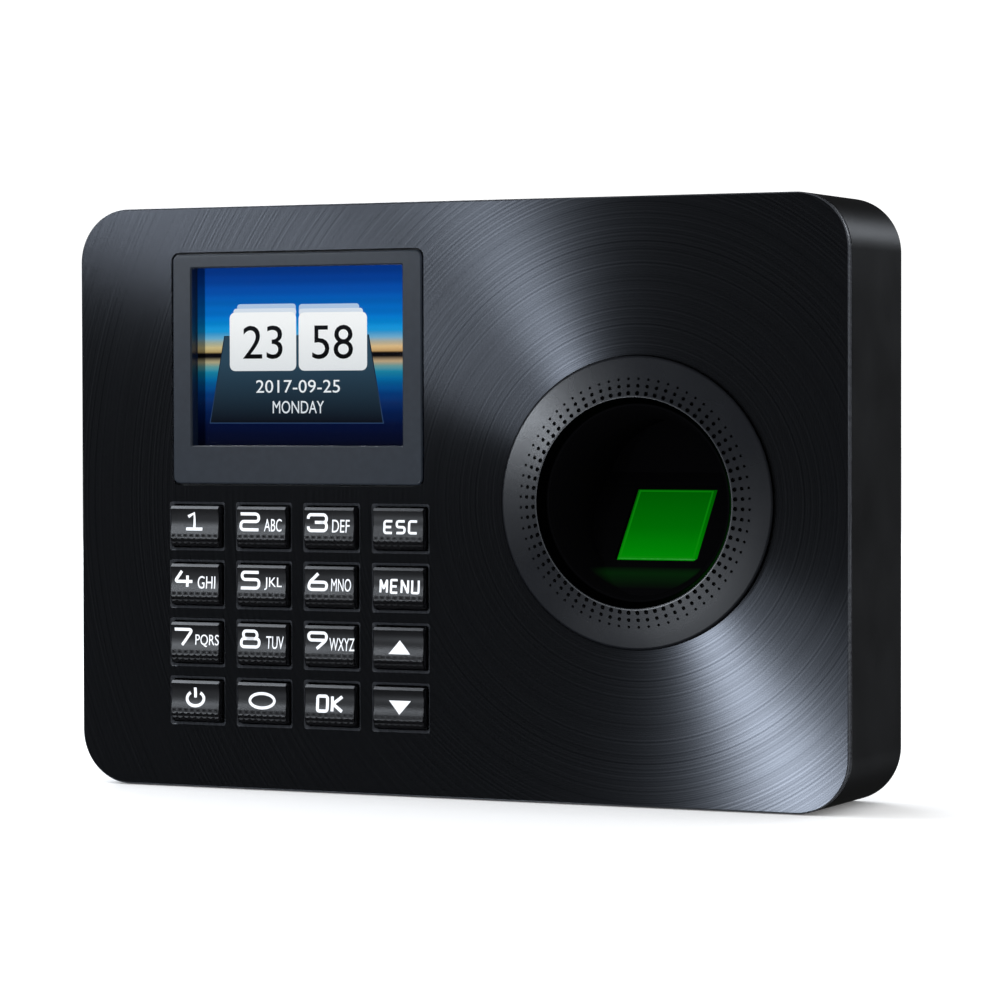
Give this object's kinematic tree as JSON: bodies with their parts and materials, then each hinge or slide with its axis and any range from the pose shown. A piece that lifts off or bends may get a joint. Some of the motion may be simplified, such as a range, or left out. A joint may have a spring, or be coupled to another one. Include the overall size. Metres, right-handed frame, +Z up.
{
  "type": "fingerprint scanner terminal",
  "caption": "Wall or desk fingerprint terminal: slim black case with a small display, a keypad of sliding keys and a round finger well with a lit optical window.",
  "frame": {"origin": "under the middle of the case, on the surface it stands on (middle of the bounding box's bottom)", "axes": "+Z up, +X to the right as a user sees the front, +Y towards the back, so the keys and the finger opening face -Y"},
  "size_m": [0.185, 0.0354, 0.13],
  "materials": {
    "panel_face": "black anodised aluminium, spun in fine rings about the finger opening",
    "case_plastic": "black ABS, fine satin mould texture",
    "well_plastic": "black ABS, semi-gloss",
    "bezel_plastic": "dark grey ABS, glossy",
    "key_plastic": "black ABS with white printed legends and a moulded texture",
    "collar_plastic": "dark grey satin ABS with rows of small dimples",
    "clear_window": "clear polished acrylic",
    "lcd_glass": "lit liquid crystal display under glass",
    "diffuser": "white diffuser",
    "metal_tray": "tinned or nickel-plated steel sheet",
    "silicone": "grey moulded silicone",
    "circuit_board": "green solder mask on glass-fibre board",
    "prism_glass": "optical glass lit green from inside",
    "zinc_steel": "zinc-plated steel",
    "chip_epoxy": "black moulded epoxy or nylon",
    "ribbon_film": "amber polyimide film"
  },
  "bodies": {
    "case": {"backlight": "diffuser", "board_screw_1": "zinc_steel", "board_screw_2": "zinc_steel", "board_screw_3": "zinc_steel", "board_screw_4": "zinc_steel", "camera_board": "circuit_board", "camera_lens": "chip_epoxy", "camera_screw_1": "zinc_steel", "camera_screw_2": "zinc_steel", "cell_holder": "chip_epoxy", "coin_cell": "metal_tray", "cover_screw_1": "zinc_steel", "cover_screw_2": "zinc_steel", "cover_screw_3": "zinc_steel", "cover_screw_4": "zinc_steel", "display_bezel": "bezel_plastic", "display_lens": "clear_window", "finger_well": "well_plastic", "front_housing": "case_plastic", "front_panel": "panel_face", "keypad_board": "circuit_board", "keypad_mat": "silicone", "keypad_ribbon": "ribbon_film", "keypad_screw_1": "zinc_steel", "keypad_screw_2": "zinc_steel", "keypad_screw_3": "zinc_steel", "keypad_screw_4": "zinc_steel", "lcd_frame": "metal_tray", "lcd_panel": "lcd_glass", "lcd_ribbon": "ribbon_film", "led_board": "circuit_board", "lock_screw": "zinc_steel", "main_board": "circuit_board", "optic_prism": "prism_glass", "power_jack": "chip_epoxy", "processor": "chip_epoxy", "rear_cover": "case_plastic", "sensor_collar": "collar_plastic", "speaker": "chip_epoxy", "usb_port": "metal_tray", "wall_plate": "zinc_steel", "well_screw_1": "zinc_steel", "well_screw_2": "zinc_steel", "well_screw_3": "zinc_steel"},
    "key_1": {"key_1": "key_plastic"},
    "key_2": {"key_2": "key_plastic"},
    "key_3": {"key_3": "key_plastic"},
    "key_esc": {"key_esc": "key_plastic"},
    "key_4": {"key_4": "key_plastic"},
    "key_5": {"key_5": "key_plastic"},
    "key_6": {"key_6": "key_plastic"},
    "key_menu": {"key_menu": "key_plastic"},
    "key_7": {"key_7": "key_plastic"},
    "key_8": {"key_8": "key_plastic"},
    "key_9": {"key_9": "key_plastic"},
    "key_up": {"key_up": "key_plastic"},
    "key_power": {"key_power": "key_plastic"},
    "key_0": {"key_0": "key_plastic"},
    "key_ok": {"key_ok": "key_plastic"},
    "key_down": {"key_down": "key_plastic"}
  },
  "joints": [
    {"name": "key_1_press", "type": "slide", "parent": "case", "child": "key_1", "axis": [0, 1, 0], "range_m": [0, 0.0008], "stiffness_N_per_m": 500, "springref_m": -0.0008},
    {"name": "key_2_press", "type": "slide", "parent": "case", "child": "key_2", "axis": [0, 1, 0], "range_m": [0, 0.0008], "stiffness_N_per_m": 500, "springref_m": -0.0008},
    {"name": "key_3_press", "type": "slide", "parent": "case", "child": "key_3", "axis": [0, 1, 0], "range_m": [0, 0.0008], "stiffness_N_per_m": 500, "springref_m": -0.0008},
    {"name": "key_esc_press", "type": "slide", "parent": "case", "child": "key_esc", "axis": [0, 1, 0], "range_m": [0, 0.0008], "stiffness_N_per_m": 500, "springref_m": -0.0008},
    {"name": "key_4_press", "type": "slide", "parent": "case", "child": "key_4", "axis": [0, 1, 0], "range_m": [0, 0.0008], "stiffness_N_per_m": 500, "springref_m": -0.0008},
    {"name": "key_5_press", "type": "slide", "parent": "case", "child": "key_5", "axis": [0, 1, 0], "range_m": [0, 0.0008], "stiffness_N_per_m": 500, "springref_m": -0.0008},
    {"name": "key_6_press", "type": "slide", "parent": "case", "child": "key_6", "axis": [0, 1, 0], "range_m": [0, 0.0008], "stiffness_N_per_m": 500, "springref_m": -0.0008},
    {"name": "key_menu_press", "type": "slide", "parent": "case", "child": "key_menu", "axis": [0, 1, 0], "range_m": [0, 0.0008], "stiffness_N_per_m": 500, "springref_m": -0.0008},
    {"name": "key_7_press", "type": "slide", "parent": "case", "child": "key_7", "axis": [0, 1, 0], "range_m": [0, 0.0008], "stiffness_N_per_m": 500, "springref_m": -0.0008},
    {"name": "key_8_press", "type": "slide", "parent": "case", "child": "key_8", "axis": [0, 1, 0], "range_m": [0, 0.0008], "stiffness_N_per_m": 500, "springref_m": -0.0008},
    {"name": "key_9_press", "type": "slide", "parent": "case", "child": "key_9", "axis": [0, 1, 0], "range_m": [0, 0.0008], "stiffness_N_per_m": 500, "springref_m": -0.0008},
    {"name": "key_up_press", "type": "slide", "parent": "case", "child": "key_up", "axis": [0, 1, 0], "range_m": [0, 0.0008], "stiffness_N_per_m": 500, "springref_m": -0.0008},
    {"name": "key_power_press", "type": "slide", "parent": "case", "child": "key_power", "axis": [0, 1, 0], "range_m": [0, 0.0008], "stiffness_N_per_m": 500, "springref_m": -0.0008},
    {"name": "key_0_press", "type": "slide", "parent": "case", "child": "key_0", "axis": [0, 1, 0], "range_m": [0, 0.0008], "stiffness_N_per_m": 500, "springref_m": -0.0008},
    {"name": "key_ok_press", "type": "slide", "parent": "case", "child": "key_ok", "axis": [0, 1, 0], "range_m": [0, 0.0008], "stiffness_N_per_m": 500, "springref_m": -0.0008},
    {"name": "key_down_press", "type": "slide", "parent": "case", "child": "key_down", "axis": [0, 1, 0], "range_m": [0, 0.0008], "stiffness_N_per_m": 500, "springref_m": -0.0008}
  ]
}
